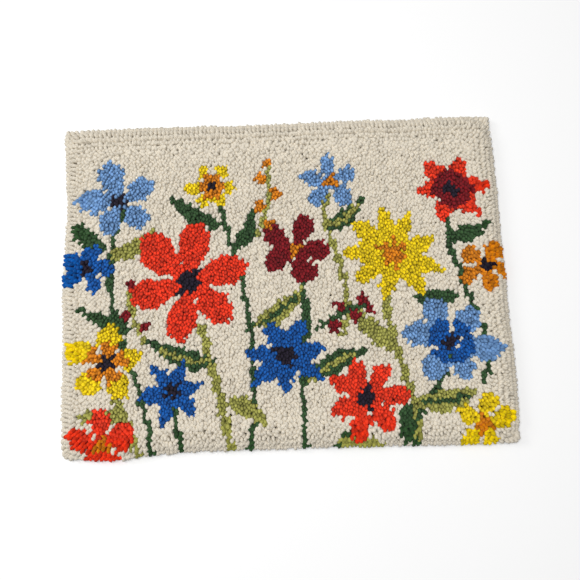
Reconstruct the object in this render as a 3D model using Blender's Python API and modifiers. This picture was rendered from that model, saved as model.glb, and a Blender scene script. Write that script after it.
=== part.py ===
# Latch hook rug: a woven rug canvas with a thick cut pile of yarn knotted into it.
# Metres, +Z up. X runs along the rug's width, Y towards the edge that is furthest from the viewer.
# The origin is under the middle of the rug, on the surface that it lies on.

import math
import random

import bmesh
import bpy
from mathutils import Vector, noise

# Canvas: one knot to a hole, 3.75 holes to the inch
KNOT_PITCH = 0.0254 / 3.75
KNOTS_ACROSS = 101
KNOTS_DEEP = 75
CANVAS_THICK = 0.0015
CANVAS_INSET = 0.0005

# Pile: cut yarn ends standing on the canvas. The height is that of the dips between the lumps.
PILE_HEIGHT = 0.0212
PIECE_GAP = 0.0003
CORNER_RADIUS = 0.012
SWELL_RISE = 0.0016
SWELL_LENGTH = 0.11
SEED = 27

# Lumps on top: one for each cell of this grid, and one for each face of the rim's top band
CELLS_ACROSS = 36
CELLS_DEEP = 27
CROWN_LUMPS = {"rise": 0.0030, "jitter": 0.0011, "sway": 0.0035}
BAND_LUMPS = {"rise": 0.0016, "jitter": 0.0007, "sway": 0.0010}
DIP_JITTER = {"sway": 0.0028, "rise": 0.0008}
SHARP_ANGLE = math.radians(55.0)

# Locks at the rim: every second step of the rim has one in each row, one step for each half cell
STEPS_PER_CELL = 2
LOCK_TAPER = (0.80, 0.55)

# Rim profile, from the crown's edge down to the underside.
# out: past the canvas's own edge, in metres; height: share of the pile's height
RIM_PROFILE = (
    {"out": -0.0120, "height": 0.97},
    {"out": -0.0025, "height": 0.80},
    {"out": 0.0030, "height": 0.38},
    {"out": 0.0010, "height": 0.0},
)

# The two rows of locks. reach and fall: how far out and down each half of a lock goes;
# jitter: how unevenly they reach; fan: how far sideways they lean
LOCK_ROWS = (
    {"reach": (0.0044, 0.0040), "fall": (0.0006, 0.0030), "jitter": 0.0012, "fan": 0.0016},
    {"reach": (0.0038, 0.0034), "fall": (0.0014, 0.0034), "jitter": 0.0010, "fan": 0.0013},
)

# How far each edge strays from straight, going round at even steps. Millimetres, outwards positive.
EDGE_STRAY_MM = {
    "front": (3.0, 4.5, 0.5, -2.0, -3.5, -4.0, -3.0, -1.5, -0.5, 0.5, 1.0),
    "right": (-1.0, 2.0, 2.5, 1.0, 2.0, 0.0, 1.0, -0.5, 0.5),
    "back": (1.0, 0.5, -1.0, 0.5, 0.0, -0.5, -1.0, 0.5, 1.5, 0.0, 0.5),
    "left": (-1.0, -4.5, -5.0, -1.5, 2.0, 0.0, 0.5, 2.5, 1.0),
}

CREAM_YARN = {"name": "cream_rug_yarn", "colour": (0.67, 0.62, 0.52), "roughness": 0.95}
CANVAS_COTTON = {"name": "rug_canvas", "colour": (0.74, 0.70, 0.60), "roughness": 0.9}


def clear_scene():
    for old in list(bpy.data.objects):
        bpy.data.objects.remove(old, do_unlink=True)


def make_material(look):
    material = bpy.data.materials.new(look["name"])
    material.use_nodes = True
    shader = material.node_tree.nodes["Principled BSDF"]
    shader.inputs["Base Color"].default_value = (*look["colour"], 1.0)
    shader.inputs["Roughness"].default_value = look["roughness"]
    shader.inputs["Metallic"].default_value = 0.0
    return material


def rolling(values, share):
    """A smooth value between the entries of a row, for a share from 0 to 1 along it."""
    at = max(0.0, min(1.0, share)) * (len(values) - 1)
    first = min(int(at), len(values) - 2)
    part = at - first
    ease = part * part * (3.0 - 2.0 * part)
    return values[first] + (values[first + 1] - values[first]) * ease


def edge_stray(u, v):
    """How far the plan shifts at (u, v), which run from -1 to 1, so that its four edges stray."""
    across = (u + 1.0) / 2.0
    up = (v + 1.0) / 2.0
    mm = 0.001
    right = rolling(EDGE_STRAY_MM["right"], up) * mm * max(0.0, u) ** 3
    left = rolling(EDGE_STRAY_MM["left"], 1.0 - up) * mm * max(0.0, -u) ** 3
    back = rolling(EDGE_STRAY_MM["back"], 1.0 - across) * mm * max(0.0, v) ** 3
    front = rolling(EDGE_STRAY_MM["front"], across) * mm * max(0.0, -v) ** 3
    return Vector((right - left, back - front))


def plan_point(u, v, out):
    """The place in plan of (u, v) on a rounded rectangle whose edges lie out past the canvas's edge."""
    half = (
        KNOTS_ACROSS * KNOT_PITCH / 2.0 + out,
        KNOTS_DEEP * KNOT_PITCH / 2.0 + out,
    )
    radius = CORNER_RADIUS + out - RIM_PROFILE[0]["out"]
    x, y = u * half[0], v * half[1]
    p = (abs(x) - half[0] + radius) / radius
    q = (abs(y) - half[1] + radius) / radius
    if p > 0.0 and q > 0.0:
        # the corner's square becomes a quarter of a disc
        x = math.copysign(half[0] - radius + radius * p * math.sqrt(1.0 - q * q / 2.0), x)
        y = math.copysign(half[1] - radius + radius * q * math.sqrt(1.0 - p * p / 2.0), y)
    return Vector((x, y)) + edge_stray(u, v)


def swell(x, y):
    """The slow rise and fall of the pile's top."""
    return SWELL_RISE * noise.noise(Vector((x, y, 0.0)) / SWELL_LENGTH)


def unit_grid(mesh):
    """A flat grid from -1 to 1 each way, one square for each cell."""
    bmesh.ops.create_grid(mesh, x_segments=CELLS_ACROSS, y_segments=CELLS_DEEP, size=1.0)


def split_rim(mesh):
    """Cuts each rim edge in two."""
    for edge in [e for e in mesh.edges if e.is_boundary]:
        bmesh.utils.edge_split(edge, edge.verts[0], 1.0 / STEPS_PER_CELL)


def set_place(vertex, plan, profile_row):
    """Puts a point on the given row of the rim profile."""
    u, v, _ = vertex[plan]
    flat = plan_point(u, v, profile_row["out"])
    lift = (PILE_HEIGHT + swell(flat.x, flat.y)) * profile_row["height"]
    vertex.co = (flat.x, flat.y, CANVAS_THICK + PIECE_GAP + lift)


def ring_below(mesh, ring, plan, profile_row):
    """Carries a closed ring of edges on to the next row of the rim profile."""
    grown = bmesh.ops.extrude_edge_only(mesh, edges=ring)["geom"]
    faces = [f for f in grown if isinstance(f, bmesh.types.BMFace)]
    fresh = {v for v in grown if isinstance(v, bmesh.types.BMVert)}
    for vertex in fresh:
        set_place(vertex, plan, profile_row)
    edges = [e for e in grown if isinstance(e, bmesh.types.BMEdge)]
    return [e for e in edges if fresh.issuperset(e.verts)], faces


def unsettle(vertex, amount, chance):
    """Moves a point of the crown a little, up or down and sideways."""
    vertex.co.x += amount["sway"] * chance.uniform(-1.0, 1.0)
    vertex.co.y += amount["sway"] * chance.uniform(-1.0, 1.0)
    vertex.co.z += amount["rise"] * chance.uniform(-1.0, 1.0)


def raise_lumps(mesh, faces, lump, chance):
    """Pokes each face and lifts its middle, so that it stands as one tuft of yarn ends."""
    middles = bmesh.ops.poke(mesh, faces=faces)["verts"]
    mesh.normal_update()
    for middle in middles:
        middle.co += middle.normal * lump["rise"]
        unsettle(middle, {"sway": lump["sway"], "rise": lump["jitter"]}, chance)


def around(face):
    """The angle of a face's middle about the rug's middle, which orders the faces of a ring."""
    middle = face.calc_center_median()
    return math.atan2(middle.y, middle.x)


def rim_direction(face):
    """Level and outwards from the rim at this face."""
    normal = face.normal.copy()
    normal.z = 0.0
    return normal.normalized()


def grow_locks(mesh, faces, row, first, chance):
    """Draws every second face of a ring out into a tapered lock of two halves."""
    tips = sorted(faces, key=around)[first::2]
    outward = [rim_direction(face) for face in tips]
    fans = [chance.uniform(-row["fan"], row["fan"]) for _ in tips]
    spares = [chance.uniform(-row["jitter"], row["jitter"]) for _ in tips]
    for taper, reach, fall in zip(LOCK_TAPER, row["reach"], row["fall"]):
        tips = bmesh.ops.extrude_discrete_faces(mesh, faces=tips)["faces"]
        for tip, direction, fan, spare in zip(tips, outward, fans, spares):
            sideways = Vector((-direction.y, direction.x, 0.0)) * fan
            draw_out(tip, direction * (reach + spare) + sideways, fall, taper)


def draw_out(tip, step, fall, taper):
    """Moves one end of a lock outwards and narrows it. It falls until it rests level on the floor."""
    middle = tip.calc_center_median()
    for vertex in tip.verts:
        vertex.co = middle + (vertex.co - middle) * taper + step
    fall = min(fall, min(vertex.co.z for vertex in tip.verts))
    for vertex in tip.verts:
        vertex.co.z -= fall


def build_pile(name, material):
    """The cut pile as one lumpy slab with locks at its rim."""
    chance = random.Random(SEED)
    mesh = bmesh.new()
    plan = mesh.verts.layers.float_vector.new("plan")
    unit_grid(mesh)
    split_rim(mesh)
    for vertex in mesh.verts:
        vertex[plan] = vertex.co.copy()
        set_place(vertex, plan, RIM_PROFILE[0])
        if not vertex.is_boundary:
            unsettle(vertex, DIP_JITTER, chance)
    cells = list(mesh.faces)
    ring = [e for e in mesh.edges if e.is_boundary]
    sides = []
    for profile_row in RIM_PROFILE[1:]:
        ring, faces = ring_below(mesh, ring, plan, profile_row)
        sides.append(faces)
    bmesh.ops.contextual_create(mesh, geom=ring)
    bmesh.ops.recalc_face_normals(mesh, faces=mesh.faces)
    raise_lumps(mesh, cells, CROWN_LUMPS, chance)
    raise_lumps(mesh, sides[0], BAND_LUMPS, chance)
    for order, (faces, row) in enumerate(zip(sides[1:], LOCK_ROWS)):
        grow_locks(mesh, faces, row, order, chance)
    bmesh.ops.recalc_face_normals(mesh, faces=mesh.faces)
    pile = finish_object(mesh, name, material)
    pile.data.shade_smooth()
    pile.data.set_sharp_from_angle(angle=SHARP_ANGLE)
    return pile


def build_canvas(name, material):
    """The woven canvas under the pile, one flat sheet with the edges' own stray."""
    mesh = bmesh.new()
    unit_grid(mesh)
    for vertex in mesh.verts:
        flat = plan_point(vertex.co.x, vertex.co.y, -CANVAS_INSET)
        vertex.co = (flat.x, flat.y, 0.0)
    bmesh.ops.dissolve_faces(mesh, faces=mesh.faces, use_verts=False)
    canvas = finish_object(mesh, name, material)
    wall = canvas.modifiers.new("thickness", "SOLIDIFY")
    wall.thickness = CANVAS_THICK
    wall.offset = 1.0
    return canvas


def finish_object(mesh, name, material):
    data = bpy.data.meshes.new(name)
    mesh.to_mesh(data)
    mesh.free()
    data.materials.append(material)
    return bpy.data.objects.new(name, data)


def centre_on_origin(pieces, measured):
    """Moves the pieces' meshes together, so that the measured piece's box is centred in plan."""
    xs = [vertex.co.x for vertex in measured.data.vertices]
    ys = [vertex.co.y for vertex in measured.data.vertices]
    shift = Vector((-(min(xs) + max(xs)) / 2.0, -(min(ys) + max(ys)) / 2.0, 0.0))
    for piece in pieces:
        for vertex in piece.data.vertices:
            vertex.co += shift


def main():
    clear_scene()
    rug = bpy.data.collections.new("latch_hook_rug")
    bpy.context.scene.collection.children.link(rug)
    canvas = build_canvas("canvas", make_material(CANVAS_COTTON))
    pile = build_pile("pile", make_material(CREAM_YARN))
    centre_on_origin((canvas, pile), pile)
    for piece in (canvas, pile):
        rug.objects.link(piece)


main()
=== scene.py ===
# Latch hook rug: cut acrylic rug yarn knotted into cotton rug canvas. Metres, +Z up.
# +X is the viewer's right and +Y the far edge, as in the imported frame.
import math
import random

import bpy
import numpy as np
from mathutils import Matrix, Vector, noise


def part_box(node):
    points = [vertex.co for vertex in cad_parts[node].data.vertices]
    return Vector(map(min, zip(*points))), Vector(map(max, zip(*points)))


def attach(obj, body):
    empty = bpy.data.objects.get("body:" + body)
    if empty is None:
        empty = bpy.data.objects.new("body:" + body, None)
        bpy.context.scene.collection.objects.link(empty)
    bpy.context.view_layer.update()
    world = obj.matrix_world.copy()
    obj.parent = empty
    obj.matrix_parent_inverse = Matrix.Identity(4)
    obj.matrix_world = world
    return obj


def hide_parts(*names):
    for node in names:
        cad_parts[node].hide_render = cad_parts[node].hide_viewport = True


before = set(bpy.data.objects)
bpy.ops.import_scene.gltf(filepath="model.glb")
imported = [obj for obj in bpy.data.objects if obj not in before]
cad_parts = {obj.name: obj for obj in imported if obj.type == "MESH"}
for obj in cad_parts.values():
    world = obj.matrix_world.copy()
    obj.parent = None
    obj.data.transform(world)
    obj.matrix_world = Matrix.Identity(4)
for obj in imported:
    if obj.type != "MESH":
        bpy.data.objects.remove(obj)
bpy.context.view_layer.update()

mm = 0.001
rugBody = "root"
print("rug: frame loaded, nodes", sorted(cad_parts))


def hexToLinear(code):
    # sRGB hex such as "D8CDB8" to linear red, green, blue, alpha
    parts = [int(code[i:i + 2], 16) / 255 for i in (0, 2, 4)]
    return (*[p / 12.92 if p <= 0.04045 else ((p + 0.055) / 1.055) ** 2.4 for p in parts], 1.0)


def findSocket(sockets, key):
    # by its number, or the one in use that has this name or identifier
    if isinstance(key, int):
        return sockets[key]
    return next(s for s in sockets if s.enabled and key in (s.name, s.identifier))


def addNode(tree, kind, settings=None, inputs=None):
    # each input is a plain value, a socket, a node that gives its first output, or a list of nodes to join
    node = tree.nodes.new(kind)
    for name, value in (settings or {}).items():
        setattr(node, name, value)
    for key, value in (inputs or {}).items():
        socket = findSocket(node.inputs, key)
        for source in value if isinstance(value, list) else [value]:
            if isinstance(source, bpy.types.Node):
                source = next(s for s in source.outputs if s.enabled)
            if isinstance(source, bpy.types.NodeSocket):
                tree.links.new(source, socket)
            else:
                socket.default_value = source
    return node


def openGroup(name, rows):
    # a new Geometry Nodes tree with these named inputs between its two geometry sockets
    tree = bpy.data.node_groups.new(name, "GeometryNodeTree")
    tree.interface.new_socket("Geometry", in_out="INPUT", socket_type="NodeSocketGeometry")
    for label, kind, value in rows:
        socket = tree.interface.new_socket(label, in_out="INPUT", socket_type="NodeSocket" + kind)
        if value is not None:
            socket.default_value = value
    tree.interface.new_socket("Geometry", in_out="OUTPUT", socket_type="NodeSocketGeometry")
    return tree


def setInputs(modifier, values):
    # by the socket's identifier, before the object is first evaluated
    for item in modifier.node_group.interface.items_tree:
        if item.item_type == "SOCKET" and item.in_out == "INPUT" and item.name in values:
            modifier[item.identifier] = values[item.name]


def setCurve(node, points):
    # straight runs between the points, with room above 1
    curve = node.mapping.curves[0]
    while len(curve.points) < len(points):
        curve.points.new(0.5, 0.5)
    for point, (x, y) in zip(curve.points, points):
        point.location = (x, y)
        point.handle_type = "VECTOR"
    node.mapping.clip_max_y = 2.0
    node.mapping.update()


def growPiece(name, mesh, tree, values, dropped=()):
    # runs the tree once on the mesh and keeps the result as a plain mesh, without what no material reads
    maker = bpy.data.objects.new(name + "Maker", mesh)
    bpy.context.scene.collection.objects.link(maker)
    modifier = maker.modifiers.new("grow", "NODES")
    modifier.node_group = tree
    setInputs(modifier, values)
    graph = bpy.context.evaluated_depsgraph_get()
    grown = bpy.data.meshes.new_from_object(maker.evaluated_get(graph), depsgraph=graph)
    bpy.data.objects.remove(maker)
    for key in dropped:
        if key in grown.attributes:
            grown.attributes.remove(grown.attributes[key])
    piece = bpy.data.objects.new(name, grown)
    bpy.context.scene.collection.objects.link(piece)
    return piece


def countTriangles(piece):
    return sum(len(face.vertices) - 2 for face in piece.data.polygons)


def mix(low, high, share):
    return low + (high - low) * share


# The rug's plan: where each knot sits on the canvas

rug = {
    "pitch": 25.4 / 3.75 * mm,    # one knot to a hole, 3.75 holes to the inch
    "across": 101,                # knots
    "deep": 75,
    "seed": 11,                   # of the flowers' petals
    "strayFade": 3,               # power with which an edge's stray fades towards the middle
    "strayMm": {                  # how far each edge strays outwards, going round at even steps
        "front": (-1.0, 2.0, -5.0, -7.0, -6.0, -5.5, -5.0, -3.5, -2.0, 0.0, 1.0),
        "right": (1.5, 2.5, 2.5, 0.0, 1.0, -0.5, 0.0, -2.0, -2.0),
        "back": (1.0, 0.5, -1.0, 0.5, 0.0, -0.5, -1.0, 0.5, 1.0, 0.5, 1.5),
        "left": (2.5, -3.0, -5.0, -1.5, 2.0, 0.0, 0.5, 0.5, -0.5),
    },
}
halfWide = rug["across"] * rug["pitch"] / 2
halfDeep = rug["deep"] * rug["pitch"] / 2


def rolling(values, share):
    # a smooth value between the entries of a row
    at = max(0.0, min(1.0, share)) * (len(values) - 1)
    first = min(int(at), len(values) - 2)
    part = at - first
    return mix(values[first], values[first + 1], part * part * (3 - 2 * part))


def edgeStray(u, v):
    # u and v run from -1 to 1 over the canvas
    stray, fade = rug["strayMm"], rug["strayFade"]
    right = rolling(stray["right"], (v + 1) / 2) * max(0.0, u) ** fade
    left = rolling(stray["left"], (1 - v) / 2) * max(0.0, -u) ** fade
    back = rolling(stray["back"], (1 - u) / 2) * max(0.0, v) ** fade
    front = rolling(stray["front"], (u + 1) / 2) * max(0.0, -v) ** fade
    return Vector((right - left, back - front, 0)) * mm


def planShift():
    # the solids are centred on the pile's box, so the canvas's own middle is a little off the origin
    low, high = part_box("canvas")
    most = {side: max(row) * mm for side, row in rug["strayMm"].items()}
    own = Vector((most["right"] - most["left"], most["back"] - most["front"], 0)) / 2
    middle = (low + high) / 2
    return Vector((middle.x, middle.y, 0)) - own


rugMiddle = planShift()


def onCanvas(u, v, height=0.0):
    return Vector((u * halfWide, v * halfDeep, height)) + edgeStray(u, v) + rugMiddle


# The chart: a generic garden border of wildflowers, painted knot by knot
# Places and sizes are in knots, from the near left corner. Later entries lie over earlier ones.

brush = {
    "stemSteps": 160,             # dots along a stem
    "leafSteps": 60,
    "leafSkew": 0.8,              # under 1, a leaf is widest nearer its stem
    "ribThick": 0.62,
    "ribSteps": range(5, 46),     # the leaf's steps that carry its rib
    "stalkThick": 0.6,
    "ahead": 0.02,                # share of a path, to see which way it runs
    "berryReach": 1.35,
    "berryAside": 1.7,            # from the stalk's middle
}
stemTable = [
    {"yarn": "olive", "thick": 0.95, "path": [(37, 0), (35, 10), (33, 18), (31, 27)]},
    {"yarn": "darkGreen", "thick": 0.64, "path": [(41, 0), (46, 18), (40, 40), (35, 58)]},
    {"yarn": "darkGreen", "thick": 0.64, "path": [(54, 0), (52, 14), (58, 28), (53, 42)]},
    {"yarn": "olive", "thick": 0.95, "path": [(79, 0), (80, 14), (70, 28), (76, 42)]},
    {"yarn": "darkGreen", "thick": 0.64, "path": [(76, 0), (80, 8), (86, 12), (88, 20)]},
    {"yarn": "darkGreen", "thick": 0.64, "path": [(94, 12), (101, 26), (84, 42), (91, 58)]},
    {"yarn": "olive", "thick": 0.7, "path": [(63, 24), (69, 38), (57, 48), (62, 60)]},
    {"yarn": "darkGreen", "thick": 0.64, "path": [(19, 0), (17, 20), (4, 36), (13, 56)]},
    {"yarn": "olive", "thick": 0.75, "path": [(16, 0), (14, 8), (10, 12), (9, 18)]},
    {"yarn": "darkGreen", "thick": 0.64, "path": [(60, 0), (63, 2), (66, 4), (68, 8)]},
    {"yarn": "darkGreen", "thick": 0.62, "path": [(26, 0), (24, 5), (25, 8), (24, 12)]},
]
leafTable = [
    {"path": [(34, 19), (25, 19), (17, 26)], "belly": 2.3, "yarn": "darkGreen", "rib": "olive"},
    {"path": [(36, 10), (42, 9), (45, 4)], "belly": 2.0, "yarn": "olive", "rib": None},
    {"path": [(43, 27), (50, 30), (55, 36)], "belly": 2.3, "yarn": "olive", "rib": "darkGreen"},
    {"path": [(38, 46), (44, 48), (43, 56)], "belly": 2.0, "yarn": "darkGreen", "rib": None},
    {"path": [(37, 51), (28, 53), (24, 59)], "belly": 2.0, "yarn": "darkGreen", "rib": None},
    {"path": [(55, 14), (61, 19), (70, 21)], "belly": 2.4, "yarn": "darkGreen", "rib": "olive"},
    {"path": [(76, 20), (69, 25), (64, 33)], "belly": 2.1, "yarn": "olive", "rib": None},
    {"path": [(79, 9), (86, 7), (94, 11)], "belly": 2.2, "yarn": "olive", "rib": "darkGreen"},
    {"path": [(78, 8), (74, 3), (80, 0)], "belly": 1.8, "yarn": "darkGreen", "rib": None},
    {"path": [(91, 33), (85, 31), (79, 33)], "belly": 2.0, "yarn": "darkGreen", "rib": None},
    {"path": [(89, 46), (94, 46), (99, 50)], "belly": 2.0, "yarn": "darkGreen", "rib": None},
    {"path": [(61, 50), (66, 51), (70, 57)], "belly": 2.0, "yarn": "darkGreen", "rib": "olive"},
    {"path": [(10, 45), (16, 45), (20, 51)], "belly": 2.0, "yarn": "olive", "rib": None},
    {"path": [(9, 47), (4, 48), (2, 54)], "belly": 1.9, "yarn": "darkGreen", "rib": None},
    {"path": [(15, 27), (8, 29), (3, 33)], "belly": 1.9, "yarn": "darkGreen", "rib": None},
    {"path": [(14, 8), (8, 9), (2, 8)], "belly": 1.8, "yarn": "olive", "rib": None},
    {"path": [(61, 2), (66, 0), (73, 1)], "belly": 1.5, "yarn": "olive", "rib": None},
]
# berries sit in turn on either side of a thin stalk
sprigTable = [
    {"path": [(57, 26), (66, 32), (70, 30)], "stalk": "darkGreen", "berry": "wine", "count": 5},
    {"path": [(44, 48), (49, 57), (47, 66)], "stalk": "olive", "berry": "gold", "count": 5},
    {"path": [(18, 24), (14, 31), (15, 38)], "stalk": "olive", "berry": "wine", "count": 4},
]
# petals: how many; width: of a petal, as a share of its length; shape: round, narrow or pointed
flowerTable = [
    {"at": (62, 61), "reach": 7.0, "petals": 5, "width": 0.29, "shape": "round", "turn": 20,
     "yarn": "skyBlue", "heart": None, "eye": "gold", "eyeReach": 1.7},
    {"at": (34, 61), "reach": 6.2, "petals": 6, "width": 0.25, "shape": "round", "turn": 0,
     "yarn": "yellow", "heart": "gold", "eye": "navy", "eyeReach": 1.4},
    {"at": (24, 13), "reach": 8.0, "petals": 6, "width": 0.23, "shape": "pointed", "turn": 12,
     "yarn": "royalBlue", "heart": None, "eye": "navy", "eyeReach": 2.0},
    {"at": (12, 58), "reach": 9.4, "petals": 5, "width": 0.31, "shape": "round", "turn": 30,
     "yarn": "skyBlue", "heart": None, "eye": "navy", "eyeReach": 2.0},
    {"at": (91, 58), "reach": 9.0, "petals": 6, "width": 0.27, "shape": "pointed", "turn": 5,
     "yarn": "orangeRed", "heart": "wine", "eye": "navy", "eyeReach": 1.7},
    {"at": (53, 45), "reach": 8.8, "petals": 5, "width": 0.31, "shape": "round", "turn": 70,
     "yarn": "wine", "heart": None, "eye": "gold", "eyeReach": 1.8},
    {"at": (76, 43), "reach": 12.0, "petals": 9, "width": 0.175, "shape": "narrow", "turn": 20,
     "yarn": "yellow", "heart": None, "eye": "gold", "eyeReach": 3.2},
    {"at": (28, 38), "reach": 14.6, "petals": 6, "width": 0.265, "shape": "round", "turn": 18,
     "yarn": "orangeRed", "heart": None, "eye": "navy", "eyeReach": 3.0},
    {"at": (50, 20), "reach": 10.0, "petals": 7, "width": 0.21, "shape": "pointed", "turn": 15,
     "yarn": "royalBlue", "heart": None, "eye": "navy", "eyeReach": 2.4},
    {"at": (88, 22), "reach": 10.6, "petals": 6, "width": 0.27, "shape": "round", "turn": 50,
     "yarn": "skyBlue", "heart": "royalBlue", "eye": "navy", "eyeReach": 1.8},
    {"at": (9, 20), "reach": 8.8, "petals": 5, "width": 0.31, "shape": "round", "turn": 85,
     "yarn": "yellow", "heart": "gold", "eye": "navy", "eyeReach": 1.7},
    {"at": (68, 10), "reach": 9.6, "petals": 7, "width": 0.235, "shape": "round", "turn": 0,
     "yarn": "orangeRed", "heart": None, "eye": "navy", "eyeReach": 2.2},
    {"at": (97, 39), "reach": 6.2, "petals": 5, "width": 0.31, "shape": "round", "turn": 62,
     "yarn": "gold", "heart": None, "eye": "navy", "eyeReach": 1.6},
    {"at": (94, 4), "reach": 6.0, "petals": 5, "width": 0.31, "shape": "round", "turn": 10,
     "yarn": "yellow", "heart": None, "eye": "gold", "eyeReach": 1.7},
    {"at": (5, 42), "reach": 5.8, "petals": 5, "width": 0.31, "shape": "round", "turn": 0,
     "yarn": "royalBlue", "heart": None, "eye": "navy", "eyeReach": 1.5},
    {"at": (8, 3), "reach": 7.2, "petals": 5, "width": 0.31, "shape": "round", "turn": 20,
     "yarn": "orangeRed", "heart": None, "eye": "gold", "eyeReach": 1.7},
]
petalShapes = {                   # where along a petal it is widest, and how full its ends are
    "round": {"crest": 1.65, "full": 0.70},
    "narrow": {"crest": 1.25, "full": 0.75},
    "pointed": {"crest": 0.95, "full": 0.95},
}
flowerLook = {                    # what every flower shares
    "turnStray": 5,               # degrees either way that a petal turns from its even place
    "reachStray": (0.90, 1.06),   # shortest and longest petal, as shares of the flower's reach
    "outermost": 1.1,             # no petal comes further out than this share of the reach
    "heartReach": 0.52,           # share of the flower's reach that its heart takes
    "eyeOnPetal": 0.72,           # share of the eye's reach that it has on a petal's middle line
    "eyeGrowth": 0.85,            # how quickly it reaches out on the way from there to between the petals
    "eyeFrom": 0.35,              # share of that way where the growth begins
}


def curvePoint(path, t):
    # a point on the smooth curve that these handles pull
    points = [Vector(p) for p in path]
    while len(points) > 1:
        points = [a.lerp(b, t) for a, b in zip(points, points[1:])]
    return points[0]


def paintDot(chart, place, reach, yarn):
    # every knot whose middle lies within reach of the place
    for i in range(int(place[0] - reach) - 1, int(place[0] + reach) + 2):
        for j in range(int(place[1] - reach) - 1, int(place[1] + reach) + 2):
            if (i, j) in chart and math.hypot(i + 0.5 - place[0], j + 0.5 - place[1]) < reach:
                chart[i, j] = yarn


def paintStem(chart, stem):
    steps = brush["stemSteps"]
    for step in range(steps + 1):
        paintDot(chart, curvePoint(stem["path"], step / steps), stem["thick"], stem["yarn"])


def paintLeaf(chart, leaf):
    steps = brush["leafSteps"]
    for step in range(steps + 1):
        t = step / steps
        reach = leaf["belly"] * math.sin(math.pi * t ** brush["leafSkew"])
        paintDot(chart, curvePoint(leaf["path"], t), reach, leaf["yarn"])
    if leaf["rib"]:
        for step in brush["ribSteps"]:
            paintDot(chart, curvePoint(leaf["path"], step / steps), brush["ribThick"], leaf["rib"])


def paintSprig(chart, sprig):
    paintStem(chart, {"path": sprig["path"], "thick": brush["stalkThick"], "yarn": sprig["stalk"]})
    for number in range(sprig["count"]):
        t = (number + 1) / sprig["count"]
        here = curvePoint(sprig["path"], t)
        ahead = curvePoint(sprig["path"], t + brush["ahead"])
        aside = (ahead - here).orthogonal().normalized()
        side = brush["berryAside"] if number % 2 else -brush["berryAside"]
        # the last berry sits on the stalk's own end
        paintDot(chart, here + aside * side * (t < 1), brush["berryReach"], sprig["berry"])


def paintFlower(chart, flower, chance):
    # petals are ovals round the middle, each a little different, so that the ground shows between them
    shape, look = petalShapes[flower["shape"]], flowerLook
    petals = []
    for number in range(flower["petals"]):
        turnStray = chance.uniform(-look["turnStray"], look["turnStray"])
        angle = math.radians(flower["turn"] + 360 * number / flower["petals"] + turnStray)
        petals.append((angle, flower["reach"] * chance.uniform(*look["reachStray"])))
    for i, j in chart:
        dx, dy = i + 0.5 - flower["at"][0], j + 0.5 - flower["at"][1]
        far = math.hypot(dx, dy)
        if far > look["outermost"] * flower["reach"]:
            continue
        for angle, long in petals:
            along = (dx * math.cos(angle) + dy * math.sin(angle)) / long
            aside = abs(dy * math.cos(angle) - dx * math.sin(angle)) / long
            if not 0 < along < 1:
                continue
            if aside < flower["width"] * math.sin(math.pi * along ** shape["crest"]) ** shape["full"]:
                isHeart = flower["heart"] and far < look["heartReach"] * flower["reach"]
                chart[i, j] = flower["heart"] if isHeart else flower["yarn"]
        # the eye runs out a little way between the petals
        nearest = min(abs(math.remainder(math.atan2(dy, dx) - angle, 2 * math.pi)) for angle, _ in petals)
        between = nearest / (math.pi / flower["petals"])
        eyeShare = look["eyeOnPetal"] + look["eyeGrowth"] * max(0.0, between - look["eyeFrom"])
        if far < flower["eyeReach"] * eyeShare:
            chart[i, j] = flower["eye"]


def paintChart():
    chance = random.Random(rug["seed"])
    chart = {(i, j): "cream" for j in range(rug["deep"]) for i in range(rug["across"])}
    for stem in stemTable:
        paintStem(chart, stem)
    for leaf in leafTable:
        paintLeaf(chart, leaf)
    for sprig in sprigTable:
        paintSprig(chart, sprig)
    for flower in flowerTable:
        paintFlower(chart, flower, chance)
    return chart


# The yarn: each knot has two cut ends, which stand close together and lean out at the rim

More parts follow.
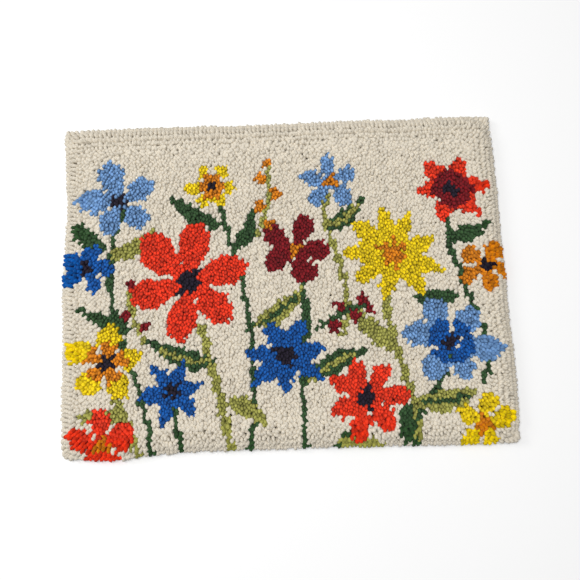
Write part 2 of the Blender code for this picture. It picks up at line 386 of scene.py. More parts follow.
pile = {
    "rootHeight": 2.4 * mm,       # where the ends leave the canvas
    "rootBack": 1.2 * mm,         # how far in front of its hole's middle a knot is tied
    "endSpacing": (3.3, 3.2),     # between the two ends of a knot, mm along x and y
    "rootShare": 0.8,             # of that spacing along x, at the root
    "bendShare": 0.9,             # and at the bend
    "bendLean": 0.3,              # share of the tip's lean that the bend has
    "tipStray": (1.4, 1.5, 1.0),  # how far a tip strays from its place before it settles, mm
    "turnStray": 26,              # degrees either way that an end's oval section turns
    "facing": (0.4, -2.5 * mm),   # a section faces outward, with this share of the lean and this along y
    "nap": (0.3, -1.4),           # the whole pile leans a little towards the maker, mm
    "swirl": 3.2 * mm,            # a slow lean that neighbours share
    "swirlSize": 85 * mm,
    "eddies": (0.4, 4.3),         # smaller swirls in it: their share, and how many times finer they are
    "lumps": 1.3 * mm,            # slow rise and fall of the cut surface
    "lumpSize": 48 * mm,
    "lumpSlice": 0.3,             # where the noise is cut for them, any height does
    "calmFrom": 30 * mm,          # lean and lumps grow from the edge to their full size this far in
    "crossed": 0.35,              # share of knots whose ends lie the other way round
    "room": 5.20 * mm,            # each tip keeps this far from the next across the rug
    "roomScale": (1.0, 0.78, 0.8),  # what a step along x, y and z counts, so tips lie closer along x
    "settling": 20,               # rounds
    "push": 0.25,                 # share of what two tips overlap that a round takes away
    "lift": 0.3,                  # share of a push that may go up or down
    "held": (0.25, 0.03),         # share of its way home that a tip goes in a round, at the rim and inside
    "rows": (                     # mm: inward from the canvas's edge; where tip and bend go from the root
        {"inward": 0.0, "out": 10.2, "tip": 1.2, "bendOut": 15.2, "bendUp": 13.5},
        {"inward": 3.4, "out": 10.8, "tip": 2.0, "bendOut": 15.0, "bendUp": 14.5},
        {"inward": 10.2, "out": 13.2, "tip": 10.4, "bendOut": 9.3, "bendUp": 19.0},
        {"inward": 16.9, "out": 11.6, "tip": 16.2, "bendOut": 6.3, "bendUp": 19.5},
        {"inward": 23.7, "out": 8.4, "tip": 19.4, "bendOut": 3.6, "bendUp": 18.0},
        {"inward": 30.5, "out": 5.4, "tip": 21.0, "bendOut": 2.0, "bendUp": 16.5},
        {"inward": 37.2, "out": 3.2, "tip": 21.9, "bendOut": 1.0, "bendUp": 15.0},
        {"inward": 50.8, "out": 1.0, "tip": 22.4, "bendOut": 0.3, "bendUp": 14.0},
        {"inward": 75.0, "out": 0.0, "tip": 22.5, "bendOut": 0.0, "bendUp": 14.0},
    ),
    "cornerRound": 26 * mm,
    "cornerOut": 1.08,            # at a corner an end goes out by up to this many times a side's
    "fan": 17 * mm,               # nearer the edge than this, a knot's two ends part along the edge
    "fanRise": 1.6,               # they have parted fully before the edge is reached
    "fanStray": (0.65, 0.45),     # there a tip strays this share less, but so many half holes along the edge
    "fanTurn": 0.6,               # and its section turns this share less
    "bareTo": 45 * mm,            # about this near the edge, the sides of the ends begin to show
    "bareLead": 0.2,              # share of that at which they are fully bare
    "slopeRise": 1.5,             # the slide comes on this quickly from there to the edge
    "slide": (3.4 * mm, 1.8 * mm),  # a knot's ends stop higher and lower on the slope: by rule, by chance
    "rim": 27 * mm,               # ends rooted this near the edge are bent more, so they have more rings
    "seed": 27,                   # of the ends' strays, swirls, shades, girths and ruffles
}
yarnEnd = {
    "width": 5.2 * mm,            # rug yarn opens out where it is cut
    "oval": (0.88, 1.14),         # a pressed yarn is narrower across its lean
    "rings": 4,
    "rimRings": 6,
    "sides": 6,
    "crowding": 2.1,              # rings come closer together towards the tip
    "girths": (0.88, 1.14),       # thinnest and thickest end
    # girth from root to tip: the plies open out, and the cut rounds off
    "swell": ((0.0, 0.62), (0.4, 1.0), (0.72, 1.34), (0.9, 1.48), (1.0, 0.64)),
    # girth on the rim's slope, from its top to its very edge
    "openOut": ((0.0, 1.0), (0.5, 1.1), (0.85, 1.15), (1.0, 1.07)),
    "ruffle": 0.5 * mm,           # how far loose fibres push its surface about
}
knotBack = {                      # the two turns of yarn that each knot shows under the canvas
    "halfSize": (1.55, 3.0, 1.0),  # mm
    "offset": (0.0, -2.2, -1.4),   # mm, from the end's root
}


def rimValue(key, inward):
    # reads the table of rows at a distance in metres from the canvas's edge
    rows, inward = pile["rows"], inward / mm
    for near, far in zip(rows, rows[1:]):
        if inward < far["inward"]:
            share = max(0.0, (inward - near["inward"]) / (far["inward"] - near["inward"]))
            return mix(near[key], far[key], share) * mm
    return rows[-1][key] * mm


def fromEdge(x, y):
    # how far inside the canvas's rounded outline a place is
    dx, dy, r = halfWide - abs(x), halfDeep - abs(y), pile["cornerRound"]
    if dx < r and dy < r:
        return r - math.hypot(r - dx, r - dy)
    return min(dx, dy)


def outwardAt(x, y, key):
    # the outward shift at a place, which turns smoothly round the corners
    shiftX = math.copysign(rimValue(key, halfWide - abs(x)), x)
    shiftY = math.copysign(rimValue(key, halfDeep - abs(y)), y)
    shift = Vector((shiftX, shiftY, 0))
    most = pile["cornerOut"] * max(abs(shiftX), abs(shiftY))
    return shift * min(1.0, most / shift.length) if shift.length else shift


def swirlAt(x, y):
    # how the pile leans at a place, before the edge calms it
    share, finer = pile["eddies"]
    place = Vector((x, y, 0)) / pile["swirlSize"]
    slow = noise.noise_vector(place)
    quick = noise.noise_vector(place * finer + Vector((7, 3, 1)))  # read well away from the slow one
    return Vector((slow.x + share * quick.x, slow.y + share * quick.y, 0)) * pile["swirl"]


def knotEnds(i, j, chance):
    # root, bend, tip and the section's narrow direction of a knot's two ends,
    # and how far inside the rug the knot is
    u, v = (2 * i + 1) / rug["across"] - 1, (2 * j + 1) / rug["deep"] - 1
    x, y = u * halfWide, v * halfDeep
    inward = fromEdge(x, y)
    middle = onCanvas(u, v, pile["rootHeight"])
    calm = min(1.0, max(0.0, inward) / pile["calmFrom"])
    lean = (swirlAt(x, y) + Vector((*pile["nap"], 0)) * mm) * calm
    outward = outwardAt(x, y, "out")
    downhill = outward.normalized()
    slope = min(1.0, pile["slopeRise"] * max(0.0, 1 - inward / pile["bareTo"]))
    along = Vector((-outward.y, outward.x, 0)).normalized() * rug["pitch"] / 2
    fan = min(1.0, max(0.0, 1 - inward / pile["fan"]) * pile["fanRise"])
    lump = noise.noise(Vector((x, y, pile["lumpSlice"])) / pile["lumpSize"]) * pile["lumps"] * calm
    slant = -1 if chance.random() < pile["crossed"] * calm ** 2 else 1
    steadier, slip = pile["fanStray"]
    rule, luck = pile["slide"]
    leanShare, pull = pile["facing"]
    rows = []
    for side in (-0.5, 0.5):
        aside = Vector((side * pile["endSpacing"][0], side * slant * pile["endSpacing"][1], 0)) * mm
        stray = Vector([chance.uniform(-most, most) * mm for most in pile["tipStray"]])
        root = middle + Vector((aside.x * pile["rootShare"], -pile["rootBack"], 0))
        aside = aside.lerp(along * side, fan)
        stray = stray * (1 - steadier * fan) + along * fan * chance.uniform(-slip, slip)
        slide = -downhill * slope * (side * slant * rule + chance.uniform(-1, 1) * luck)
        slidX, slidY = x + slide.x, y + slide.y
        bend = middle + aside * pile["bendShare"] + outwardAt(x, y, "bendOut") + lean * pile["bendLean"]
        tip = middle + aside + slide + outwardAt(slidX, slidY, "out") + lean + stray
        bend.z += rimValue("bendUp", inward)
        tip.z += rimValue("tip", fromEdge(slidX, slidY)) + lump
        facing = outward + lean * leanShare + Vector((0, pull, 0))
        turn = math.radians(chance.uniform(-pile["turnStray"], pile["turnStray"]))
        turn *= 1 - pile["fanTurn"] * fan
        across = Vector((-facing.y, facing.x)).normalized() @ Matrix.Rotation(turn, 2)
        rows.append((root, bend, tip, (*across, 0)))
    return rows, inward


def layKnots():
    # every end of every knot, as arrays that run deep, across, end and x y z
    chance = random.Random(pile["seed"])
    noise.seed_set(pile["seed"])  # without it, noise_vector has new offsets in each run
    places = np.zeros((4, rug["deep"], rug["across"], 2, 3))
    inward = np.zeros((rug["deep"], rug["across"]))
    for j in range(rug["deep"]):
        for i in range(rug["across"]):
            rows, inward[j, i] = knotEnds(i, j, chance)
            for end, row in enumerate(rows):
                places[:, j, i, end] = row
    root, bend, tip, across = places
    return {"root": root, "bend": bend, "tip": settleTips(tip, inward), "across": across}, inward


def settleTips(tips, inward):
    # neighbours push each other apart until each tip has its own room;
    # at the rim they keep more to their places
    home = tips.copy()
    held = np.where(inward < pile["rim"], *pile["held"])[..., None, None]
    ruler = np.array(pile["roomScale"])
    nobody = 9.0  # metres away, past the rug's edges
    touching = 0.1 * mm  # two tips count as no nearer than this
    steps = [(dj, di, a, b) for dj in (-1, 0, 1) for di in (-1, 0, 1) for a in (0, 1) for b in (0, 1)
             if (dj, di) != (0, 0) or a != b]
    for _ in range(pile["settling"]):
        around = np.pad(tips, ((1, 1), (1, 1), (0, 0), (0, 0)), constant_values=nobody)
        shift = np.zeros_like(tips)
        for dj, di, a, b in steps:
            other = around[1 + dj:1 + dj + rug["deep"], 1 + di:1 + di + rug["across"], b]
            gap = tips[:, :, a] - other
            far = np.linalg.norm(gap * ruler, axis=-1, keepdims=True)
            shift[:, :, a] += gap * np.clip(pile["room"] - far, 0.0, None) / np.maximum(far, touching)
        shift[..., 2] *= pile["lift"]
        tips = tips + pile["push"] * shift + held * (home - tips)
    return tips


def yarnEndTree():
    # a point with a root, a bend and a tip becomes one bent, cut yarn end and one turn under the canvas
    tree = openGroup("yarnEnds", (
        ("Yarn Width", "Float", yarnEnd["width"]),
        ("Oval", "Vector", (*yarnEnd["oval"], 1.0)),
        ("Rings", "Int", yarnEnd["rings"]),
        ("Rim Rings", "Int", yarnEnd["rimRings"]),
        ("Sides", "Int", yarnEnd["sides"]),
        ("Crowding", "Float", yarnEnd["crowding"]),
        ("Ruffle", "Float", yarnEnd["ruffle"]),
        ("Back Half Size", "Vector", tuple(s * mm for s in knotBack["halfSize"])),
        ("Back Offset", "Vector", tuple(s * mm for s in knotBack["offset"])),
        ("Seed", "Int", pile["seed"]),
        ("Yarn", "Material", None),
    ))
    given = addNode(tree, "NodeGroupInput").outputs
    points = given["Geometry"]
    for order, (name, low, high) in enumerate((("shade", 0.0, 1.0), ("girth", *yarnEnd["girths"]))):
        seed = addNode(tree, "ShaderNodeMath", {"operation": "ADD"}, {0: given["Seed"], 1: order})
        value = addNode(tree, "FunctionNodeRandomValue", {"data_type": "FLOAT"},
                        {"Min": low, "Max": high, "Seed": seed})
        points = addNode(tree, "GeometryNodeStoreNamedAttribute", {"data_type": "FLOAT"},
                         {"Geometry": points, "Name": name, "Value": value})

    # a straight line stands on each point, and has more rings at the rim
    atRim = addNode(tree, "GeometryNodeInputNamedAttribute", {"data_type": "BOOLEAN"}, {"Name": "atRim"})
    inside = addNode(tree, "FunctionNodeBooleanMath", {"operation": "NOT"}, {0: atRim})
    stands = []
    for chosen, count in ((atRim, "Rim Rings"), (inside, "Rings")):
        line = addNode(tree, "GeometryNodeCurvePrimitiveLine")
        line = addNode(tree, "GeometryNodeResampleCurve", {"mode": "COUNT"},
                       {"Curve": line, "Count": given[count]})
        stands.append(addNode(tree, "GeometryNodeInstanceOnPoints", {},
                              {"Points": points, "Selection": chosen, "Instance": line}))
    lines = addNode(tree, "GeometryNodeJoinGeometry", {}, {"Geometry": stands})
    lines = addNode(tree, "GeometryNodeRealizeInstances", {}, {"Geometry": lines})

    # it is bent through root, bend and tip: along runs from 0 at the root to 1 at the tip
    factor = addNode(tree, "GeometryNodeSplineParameter").outputs["Factor"]
    left = addNode(tree, "ShaderNodeMath", {"operation": "SUBTRACT"}, {0: 1.0, 1: factor})
    left = addNode(tree, "ShaderNodeMath", {"operation": "POWER"}, {0: left, 1: given["Crowding"]})
    along = addNode(tree, "ShaderNodeMath", {"operation": "SUBTRACT"}, {0: 1.0, 1: left})
    vector = {"data_type": "FLOAT_VECTOR"}
    root, bend, tip = [addNode(tree, "GeometryNodeInputNamedAttribute", vector, {"Name": key})
                       for key in ("root", "bend", "tip")]
    blend = {"data_type": "VECTOR", "clamp_factor": False}
    lower = addNode(tree, "ShaderNodeMix", blend,
                    {"Factor_Float": along, "A_Vector": root, "B_Vector": bend})
    upper = addNode(tree, "ShaderNodeMix", blend,
                    {"Factor_Float": along, "A_Vector": bend, "B_Vector": tip})
    place = addNode(tree, "ShaderNodeMix", blend,
                    {"Factor_Float": along, "A_Vector": lower, "B_Vector": upper})
    lines = addNode(tree, "GeometryNodeStoreNamedAttribute", {"data_type": "FLOAT"},
                    {"Geometry": lines, "Name": "along", "Value": along})
    lines = addNode(tree, "GeometryNodeSetPosition", {}, {"Geometry": lines, "Position": place})
    across = addNode(tree, "GeometryNodeInputNamedAttribute", vector, {"Name": "across"})
    lines = addNode(tree, "GeometryNodeSetCurveNormal", {"mode": "FREE"},
                    {"Curve": lines, "Normal": across})

    # the section is an oval that remembers its own direction, for the twist of the plies
    ring = addNode(tree, "GeometryNodeCurvePrimitiveCircle", {"mode": "RADIUS"},
                   {"Resolution": given["Sides"], "Radius": 1.0})
    own = addNode(tree, "GeometryNodeInputPosition")
    ring = addNode(tree, "GeometryNodeStoreNamedAttribute", {"data_type": "FLOAT_VECTOR"},
                   {"Geometry": ring, "Name": "around", "Value": own})
    ring = addNode(tree, "GeometryNodeTransform", {}, {"Geometry": ring, "Scale": given["Oval"]})
    held = addNode(tree, "GeometryNodeInputNamedAttribute", {"data_type": "FLOAT"}, {"Name": "along"})
    swell = addNode(tree, "ShaderNodeFloatCurve", {}, {"Value": held})
    setCurve(swell, yarnEnd["swell"])
    girth = addNode(tree, "GeometryNodeInputNamedAttribute", {"data_type": "FLOAT"}, {"Name": "girth"})
    radius = addNode(tree, "ShaderNodeMath", {"operation": "MULTIPLY"}, {0: given["Yarn Width"], 1: 0.5})
    radius = addNode(tree, "ShaderNodeMath", {"operation": "MULTIPLY"}, {0: radius, 1: girth})
    radius = addNode(tree, "ShaderNodeMath", {"operation": "MULTIPLY"}, {0: radius, 1: swell})
    bared = addNode(tree, "GeometryNodeInputNamedAttribute", {"data_type": "FLOAT"}, {"Name": "bared"})
    wider = addNode(tree, "ShaderNodeFloatCurve", {}, {"Value": bared})
    setCurve(wider, yarnEnd["openOut"])
    radius = addNode(tree, "ShaderNodeMath", {"operation": "MULTIPLY"}, {0: radius, 1: wider})
    ends = addNode(tree, "GeometryNodeCurveToMesh", {},
                   {"Curve": lines, "Profile Curve": ring, "Scale": radius, "Fill Caps": True})

    # loose fibres make each end uneven; nothing is moved down, so that the rim stays on the floor
    loose = addNode(tree, "FunctionNodeRandomValue", {"data_type": "FLOAT_VECTOR"},
                    {"Min": (-1, -1, 0), "Max": (1, 1, 1), "Seed": given["Seed"]})
    loose = addNode(tree, "ShaderNodeVectorMath", {"operation": "SCALE"},
                    {0: loose, "Scale": given["Ruffle"]})
    ends = addNode(tree, "GeometryNodeSetPosition", {}, {"Geometry": ends, "Offset": loose})

    # under the canvas each end's yarn turns round a weft thread
    grain = addNode(tree, "GeometryNodeMeshUVSphere", {}, {"Segments": 6, "Rings": 2, "Radius": 1.0})
    own = addNode(tree, "GeometryNodeInputPosition")
    grain = addNode(tree, "GeometryNodeStoreNamedAttribute", {"data_type": "FLOAT_VECTOR"},
                    {"Geometry": grain, "Name": "around", "Value": own})
    grain = addNode(tree, "GeometryNodeTransform", {}, {"Geometry": grain, "Rotation": (math.pi / 2, 0, 0)})
    grain = addNode(tree, "GeometryNodeTransform", {},
                    {"Geometry": grain, "Translation": given["Back Offset"],
                     "Scale": given["Back Half Size"]})
    turns = addNode(tree, "GeometryNodeInstanceOnPoints", {}, {"Points": points, "Instance": grain})

    yarns = addNode(tree, "GeometryNodeJoinGeometry", {}, {"Geometry": [ends, turns]})
    yarns = addNode(tree, "GeometryNodeRealizeInstances", {}, {"Geometry": yarns})
    yarns = addNode(tree, "GeometryNodeSetShadeSmooth", {"domain": "FACE"}, {"Geometry": yarns})
    yarns = addNode(tree, "GeometryNodeSetMaterial", {}, {"Geometry": yarns, "Material": given["Yarn"]})
    addNode(tree, "NodeGroupOutput", {}, {"Geometry": yarns})
    return tree


def endPoints(name, cells, places, inward):
    # loose points for the ends of these knots, which carry where each end bends and stops
    rows = [(j, i, end) for i, j in cells for end in (0, 1)]
    picked = tuple(np.array(rows).T)
    mesh = bpy.data.meshes.new(name)
    mesh.from_pydata([tuple(p) for p in places["root"][picked]], [], [])
    for key, vectors in places.items():
        layer = mesh.attributes.new(key, "FLOAT_VECTOR", "POINT")
        layer.data.foreach_set("vector", vectors[picked].astype(np.float32).ravel())
    depth = inward[picked[0], picked[1]]
    mesh.attributes.new("atRim", "BOOLEAN", "POINT").data.foreach_set("value", depth < pile["rim"])
    # how far the end's side is laid bare, from 0 inside to 1 at the edge
    bared = np.clip(1 + pile["bareLead"] - depth / pile["bareTo"], 0.0, 1.0).astype(np.float32)
    mesh.attributes.new("bared", "FLOAT", "POINT").data.foreach_set("value", bared)
    return mesh


# The canvas: pairs of warp threads and single weft threads, a knot's pitch apart

weave = {
    "warpWidth": 1.15 * mm,
    "warpGap": 1.25 * mm,         # between the two threads of a pair
    "warpHeights": (2.9, 1.9),    # mm: one passes over the wefts and one under them
    "weftWidth": 1.6 * mm,
    "weftHeight": 2.4 * mm,
    "steps": 12,                  # stretches of a thread between its ends
    "sides": 6,
}


def threadTree():
    # a wire with a width at each point becomes a round thread
    tree = openGroup("canvasThreads", (("Sides", "Int", weave["sides"]), ("Thread", "Material", None)))
    given = addNode(tree, "NodeGroupInput").outputs
    lines = addNode(tree, "GeometryNodeMeshToCurve", {}, {"Mesh": given["Geometry"]})
    ring = addNode(tree, "GeometryNodeCurvePrimitiveCircle", {"mode": "RADIUS"},
                   {"Resolution": given["Sides"], "Radius": 0.5})
    width = addNode(tree, "GeometryNodeInputNamedAttribute", {"data_type": "FLOAT"}, {"Name": "width"})
    threads = addNode(tree, "GeometryNodeCurveToMesh", {},
                      {"Curve": lines, "Profile Curve": ring, "Scale": width, "Fill Caps": True})
    threads = addNode(tree, "GeometryNodeRealizeInstances", {}, {"Geometry": threads})
    threads = addNode(tree, "GeometryNodeSetShadeSmooth", {"domain": "FACE"}, {"Geometry": threads})
    threads = addNode(tree, "GeometryNodeSetMaterial", {},
                      {"Geometry": threads, "Material": given["Thread"]})
    addNode(tree, "NodeGroupOutput", {}, {"Geometry": threads})
    return tree


def threadWires():
    # the threads' middle lines, as edges
    points, edges, widths = [], [], []

    def layThread(place, width):
        first = len(points)
        points.extend(place(step / weave["steps"] * 2 - 1) for step in range(weave["steps"] + 1))
        edges.extend((k, k + 1) for k in range(first, len(points) - 1))
        widths.extend([width] * (weave["steps"] + 1))

    for i in range(rug["across"] + 1):
        u = 2 * i / rug["across"] - 1
        for side, height in zip((-0.5, 0.5), weave["warpHeights"]):
            aside = Vector((side * weave["warpGap"], 0, height * mm))
            layThread(lambda v: onCanvas(u, v) + aside, weave["warpWidth"])
    for j in range(rug["deep"] + 1):
        v = 2 * j / rug["deep"] - 1
        layThread(lambda u: onCanvas(u, v, weave["weftHeight"]), weave["weftWidth"])
    mesh = bpy.data.meshes.new("threadWires")
    mesh.from_pydata(points, edges, [])
    mesh.attributes.new("width", "FLOAT", "POINT").data.foreach_set("value", widths)
    return mesh


# Materials

# deep: painted shade on the sides below a cut tip, where the ends shade each other. shades: dye and nap
# differ from end to end
creamShadeAndTones = {"deep": 1.0, "shades": (0.90, 1.05)}
dyedShadeAndTones = {"deep": 0.40, "shades": (0.72, 1.30)}
yarnTable = {
    "cream": {"hex": "DED5C4", "slot": "cream_yarn", **creamShadeAndTones},
    "orangeRed": {"hex": "E93512", "slot": "orange_red_yarn", **dyedShadeAndTones},
    "wine": {"hex": "7C0413", "slot": "wine_yarn", **dyedShadeAndTones},
    "yellow": {"hex": "EACC04", "slot": "yellow_yarn", **dyedShadeAndTones},
    "gold": {"hex": "D67F07", "slot": "gold_yarn", **dyedShadeAndTones},
    "royalBlue": {"hex": "0355A4", "slot": "royal_blue_yarn", **dyedShadeAndTones},
    "skyBlue": {"hex": "7099CA", "slot": "sky_blue_yarn", **dyedShadeAndTones},
    "darkGreen": {"hex": "30502B", "slot": "dark_green_yarn", **dyedShadeAndTones},
    "olive": {"hex": "9F9E4D", "slot": "olive_yarn", **dyedShadeAndTones},
    "navy": {"hex": "180E23", "slot": "navy_yarn", **dyedShadeAndTones},
}
yarnLook = {
    "roughness": 0.95,
    "sheen": 0.03,
    "sheenRoughness": 0.6,
    "specular": 0.1,
    "plies": 3,
    "turns": 4.0,                 # of the plies, along one end
    "paintedGrooveShade": 0.84,           # painted shade in the valleys between plies
    "grooveTo": -0.2,             # where a groove ends, on a ply's wave from -1 to 1
    "plyHeight": 0.6,             # of the plies in the bump, against the fibres
    "fibre": 0.5 * mm,            # drawn coarser than real fibres of 0.03 mm, which wouldn't show
    "fibreTones": (0.93, 1.06),
    "bump": 0.3 * mm,
    "paintedTipSheen": 0.012,               # painted sheen: a little white mixed into the colour at the cut tip
    "tipFrom": 0.90,              # along an end, where its cut tip begins
    "paintedRimSideShade": 0.93,             # painted shade on the sides that the rim lays bare
}
fibreBand = (0.3, 0.7)            # the part of a noise texture's range that it really uses


def acrylicYarn(name, row):
    # spun and plied acrylic: soft and matt, with spiral grooves; painted shade in the grooves and down the
    # sides below the cut tip, and a faint painted sheen at the tip
    material = bpy.data.materials.new(name + "AcrylicRugYarn")
    material.use_nodes = True
    tree = material.node_tree
    shader = tree.nodes["Principled BSDF"]
    colour = hexToLinear(row["hex"])
    shader.inputs["Roughness"].default_value = yarnLook["roughness"]
    shader.inputs["Sheen Weight"].default_value = yarnLook["sheen"]
    shader.inputs["Sheen Roughness"].default_value = yarnLook["sheenRoughness"]
    shader.inputs["Specular IOR Level"].default_value = yarnLook["specular"]
    material.diffuse_color = colour

    along = addNode(tree, "ShaderNodeAttribute", {"attribute_name": "along"}).outputs["Fac"]
    shade = addNode(tree, "ShaderNodeAttribute", {"attribute_name": "shade"}).outputs["Fac"]
    around = addNode(tree, "ShaderNodeAttribute", {"attribute_name": "around"}).outputs["Vector"]
    bared = addNode(tree, "ShaderNodeAttribute", {"attribute_name": "bared"}).outputs["Fac"]
    darkest, lightest = row["shades"]
    tone = addNode(tree, "ShaderNodeMapRange", {}, {"Value": shade, "To Min": darkest, "To Max": lightest})
    cut = addNode(tree, "ShaderNodeMapRange", {}, {"Value": along, "From Min": yarnLook["tipFrom"]})
    # painted shade: below the cut tip the sides take the deep tone inside the rug and the bare sides' tone
    # at the rim, rising to full colour at the tip
    side = addNode(tree, "ShaderNodeMapRange", {},
                   {"Value": bared, "To Min": row["deep"], "To Max": yarnLook["paintedRimSideShade"]})
    depth = addNode(tree, "ShaderNodeMapRange", {}, {"Value": cut, "To Min": side})
    # the plies wind round the yarn by the section's own direction
    across = addNode(tree, "ShaderNodeSeparateXYZ", {}, {0: around}).outputs
    angle = addNode(tree, "ShaderNodeMath", {"operation": "ARCTAN2"}, {0: across["Y"], 1: across["X"]})
    wind = addNode(tree, "ShaderNodeMath", {"operation": "MULTIPLY"},
                   {0: along, 1: math.tau * yarnLook["turns"]})
    wind = addNode(tree, "ShaderNodeMath", {"operation": "MULTIPLY_ADD"},
                   {0: angle, 1: yarnLook["plies"], 2: wind})
    ply = addNode(tree, "ShaderNodeMath", {"operation": "SINE"}, {0: wind})
    # painted shade: the valleys between the plies are darkened
    paintedPlyShade = addNode(tree, "ShaderNodeMapRange", {},
                     {"Value": ply, "From Min": -1.0, "From Max": yarnLook["grooveTo"],
                      "To Min": yarnLook["paintedGrooveShade"]})
    place = addNode(tree, "ShaderNodeTexCoord").outputs["Object"]
    fibre = addNode(tree, "ShaderNodeTexNoise", {},
                    {"Vector": place, "Scale": 1 / yarnLook["fibre"], "Detail": 3.0, "Roughness": 0.6})
    fuzz = addNode(tree, "ShaderNodeMapRange", {},
                   {"Value": fibre, "From Min": fibreBand[0], "From Max": fibreBand[1],
                    "To Min": yarnLook["fibreTones"][0], "To Max": yarnLook["fibreTones"][1]})
    value = tone
    for part in (depth, paintedPlyShade, fuzz):
        value = addNode(tree, "ShaderNodeMath", {"operation": "MULTIPLY"}, {0: value, 1: part})
    dyed = addNode(tree, "ShaderNodeVectorMath", {"operation": "SCALE"}, {0: colour[:3], "Scale": value})
    # painted sheen: white mixed in towards the cut tip
    paintedTipSheen = addNode(tree, "ShaderNodeMath", {"operation": "MULTIPLY"}, {0: cut, 1: yarnLook["paintedTipSheen"]})
    seen = addNode(tree, "ShaderNodeMix", {"data_type": "RGBA"},
                   {"Factor_Float": paintedTipSheen, "A_Color": dyed, "B_Color": (1, 1, 1, 1)})
    tree.links.new(findSocket(seen.outputs, "Result"), shader.inputs["Base Color"])
    height = addNode(tree, "ShaderNodeMath", {"operation": "MULTIPLY_ADD"},
                     {0: ply, 1: yarnLook["plyHeight"], 2: fibre})
    bump = addNode(tree, "ShaderNodeBump", {},
                   {"Strength": 0.5, "Distance": yarnLook["bump"], "Height": height})
    tree.links.new(bump.outputs[0], shader.inputs["Normal"])
    return material


canvasLook = {
    "hex": "DDD3BC",
    "roughness": 0.88,
    "fibre": 0.7 * mm,            # drawn coarser than real fibres, as on the yarn
    "fibreTones": (0.85, 1.05),
    "bump": 0.2 * mm,
}


def stiffenedCotton():
    # sized cotton rug canvas: matt ecru threads, a little uneven in tone
    material = bpy.data.materials.new("stiffenedCottonCanvas")
    material.use_nodes = True
    tree = material.node_tree
    shader = tree.nodes["Principled BSDF"]
    colour = hexToLinear(canvasLook["hex"])
    shader.inputs["Roughness"].default_value = canvasLook["roughness"]
    material.diffuse_color = colour
    place = addNode(tree, "ShaderNodeTexCoord").outputs["Object"]
    fibre = addNode(tree, "ShaderNodeTexNoise", {},
                    {"Vector": place, "Scale": 1 / canvasLook["fibre"], "Detail": 3.0})
    tone = addNode(tree, "ShaderNodeMapRange", {},
                   {"Value": fibre, "From Min": fibreBand[0], "From Max": fibreBand[1],
                    "To Min": canvasLook["fibreTones"][0], "To Max": canvasLook["fibreTones"][1]})
    dyed = addNode(tree, "ShaderNodeVectorMath", {"operation": "SCALE"}, {0: colour[:3], "Scale": tone})
    tree.links.new(dyed.outputs[0], shader.inputs["Base Color"])
    bump = addNode(tree, "ShaderNodeBump", {},
                   {"Strength": 0.5, "Distance": canvasLook["bump"], "Height": fibre})
    tree.links.new(bump.outputs[0], shader.inputs["Normal"])
    return material


# Build

chart = paintChart()
counts = {}
for yarn in chart.values():
    counts[yarn] = counts.get(yarn, 0) + 1
mostFirst = sorted(counts.items(), key=lambda entry: -entry[1])
print("rug: chart painted,", ", ".join(f"{yarn} {count}" for yarn, count in mostFirst))

places, inward = layKnots()
print("rug: yarn ends laid and settled")


def zoneOf(i, j):
    # the cream ground is too much for one piece, so it is kept as a rim and three fields
    if chart[i, j] != "cream":
        return chart[i, j]
    if inward[j, i] < pile["rim"]:
        return "creamRim"
    return ("creamLeft", "creamMiddle", "creamRight")[3 * i // rug["across"]]


zones = {}
for i, j in chart:
    zones.setdefault(zoneOf(i, j), []).append((i, j))

endTree = yarnEndTree()
pilePieces = []
for zone, cells in zones.items():
    yarn = chart[cells[0]]
    look = acrylicYarn(zone, yarnTable[yarn])
    cloud = endPoints(zone, cells, places, inward)
    piece = growPiece(zone + "Pile", cloud, endTree, {"Yarn": look}, (*places, "girth", "atRim"))
    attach(piece, rugBody)
    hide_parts("pile")
    pilePieces.append(piece)
    print("rug:", piece.name, len(cells), "knots,", countTriangles(piece), "triangles")

canvas = growPiece("wovenCanvas", threadWires(), threadTree(), {"Thread": stiffenedCotton()}, ("width",))
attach(canvas, rugBody)
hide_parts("canvas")
inPile = sum(countTriangles(piece) for piece in pilePieces)
print("rug: canvas woven,", countTriangles(canvas), "triangles,", inPile, "in the pile")


# Floor, light and camera

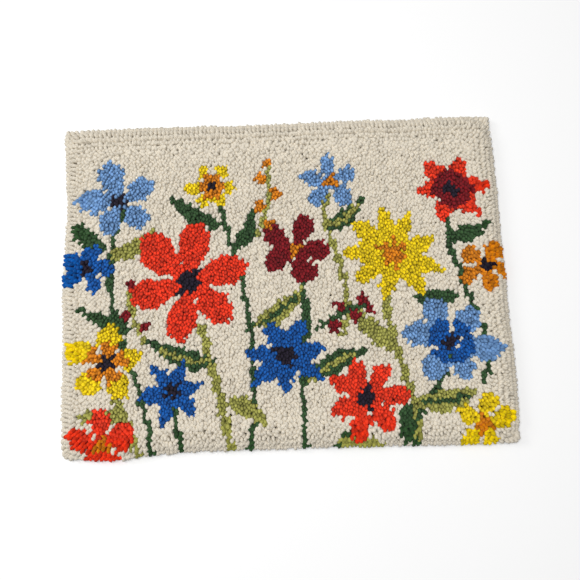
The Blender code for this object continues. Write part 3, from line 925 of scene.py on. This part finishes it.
stage = {
    "floorHex": "F3F3F3",
    "floorSize": 6.0,
    "floorRoughness": 0.9,
    "window": {"at": (-4.2, 1.8, 2.85), "size": 1.8, "power": 62},
    "ceiling": {"at": (-0.5, 0.2, 2.95), "size": 2.0, "power": 86},
    "daylight": 0.22,
    "camera": {
        "at": (-0.0045, -0.150, 0.946),
        "turns": (8.16, -0.31, -2.35),  # degrees round x, y and z
        "sensor": 36.0,           # mm
        "focal": 591,             # pixels, for a picture this many pixels wide
        "picture": 580,
    },
}


def buildFloor():
    # a matt, nearly white floor, which keeps the soft shadow pale
    mesh = bpy.data.meshes.new("floor")
    half = stage["floorSize"] / 2
    corners = [(-half, -half, 0), (half, -half, 0), (half, half, 0), (-half, half, 0)]
    mesh.from_pydata(corners, [], [(0, 1, 2, 3)])
    floor = bpy.data.objects.new("floor", mesh)
    bpy.context.scene.collection.objects.link(floor)
    material = bpy.data.materials.new("paleFloor")
    material.use_nodes = True
    shader = material.node_tree.nodes["Principled BSDF"]
    shader.inputs["Base Color"].default_value = hexToLinear(stage["floorHex"])
    shader.inputs["Roughness"].default_value = stage["floorRoughness"]
    mesh.materials.append(material)


def addLight(name):
    row = stage[name]
    data = bpy.data.lights.new(name, "AREA")
    data.size = row["size"]
    data.energy = row["power"]
    light = bpy.data.objects.new(name, data)
    light.location = row["at"]
    light.rotation_euler = (-Vector(row["at"])).to_track_quat("-Z", "Y").to_euler()
    bpy.context.scene.collection.objects.link(light)


def addDaylight():
    world = bpy.data.worlds.new("studio")
    bpy.context.scene.world = world
    world.use_nodes = True
    background = world.node_tree.nodes["Background"].inputs
    background["Color"].default_value = (1, 1, 1, 1)
    background["Strength"].default_value = stage["daylight"]


def addCamera():
    row = stage["camera"]
    data = bpy.data.cameras.new("camera")
    data.sensor_width = row["sensor"]
    data.lens = row["sensor"] * row["focal"] / row["picture"]
    camera = bpy.data.objects.new("camera", data)
    camera.location = row["at"]
    camera.rotation_euler = [math.radians(turn) for turn in row["turns"]]
    bpy.context.scene.collection.objects.link(camera)
    bpy.context.scene.camera = camera


buildFloor()
addLight("window")
addLight("ceiling")
addDaylight()
addCamera()
bpy.context.scene.view_settings.view_transform = "Standard"
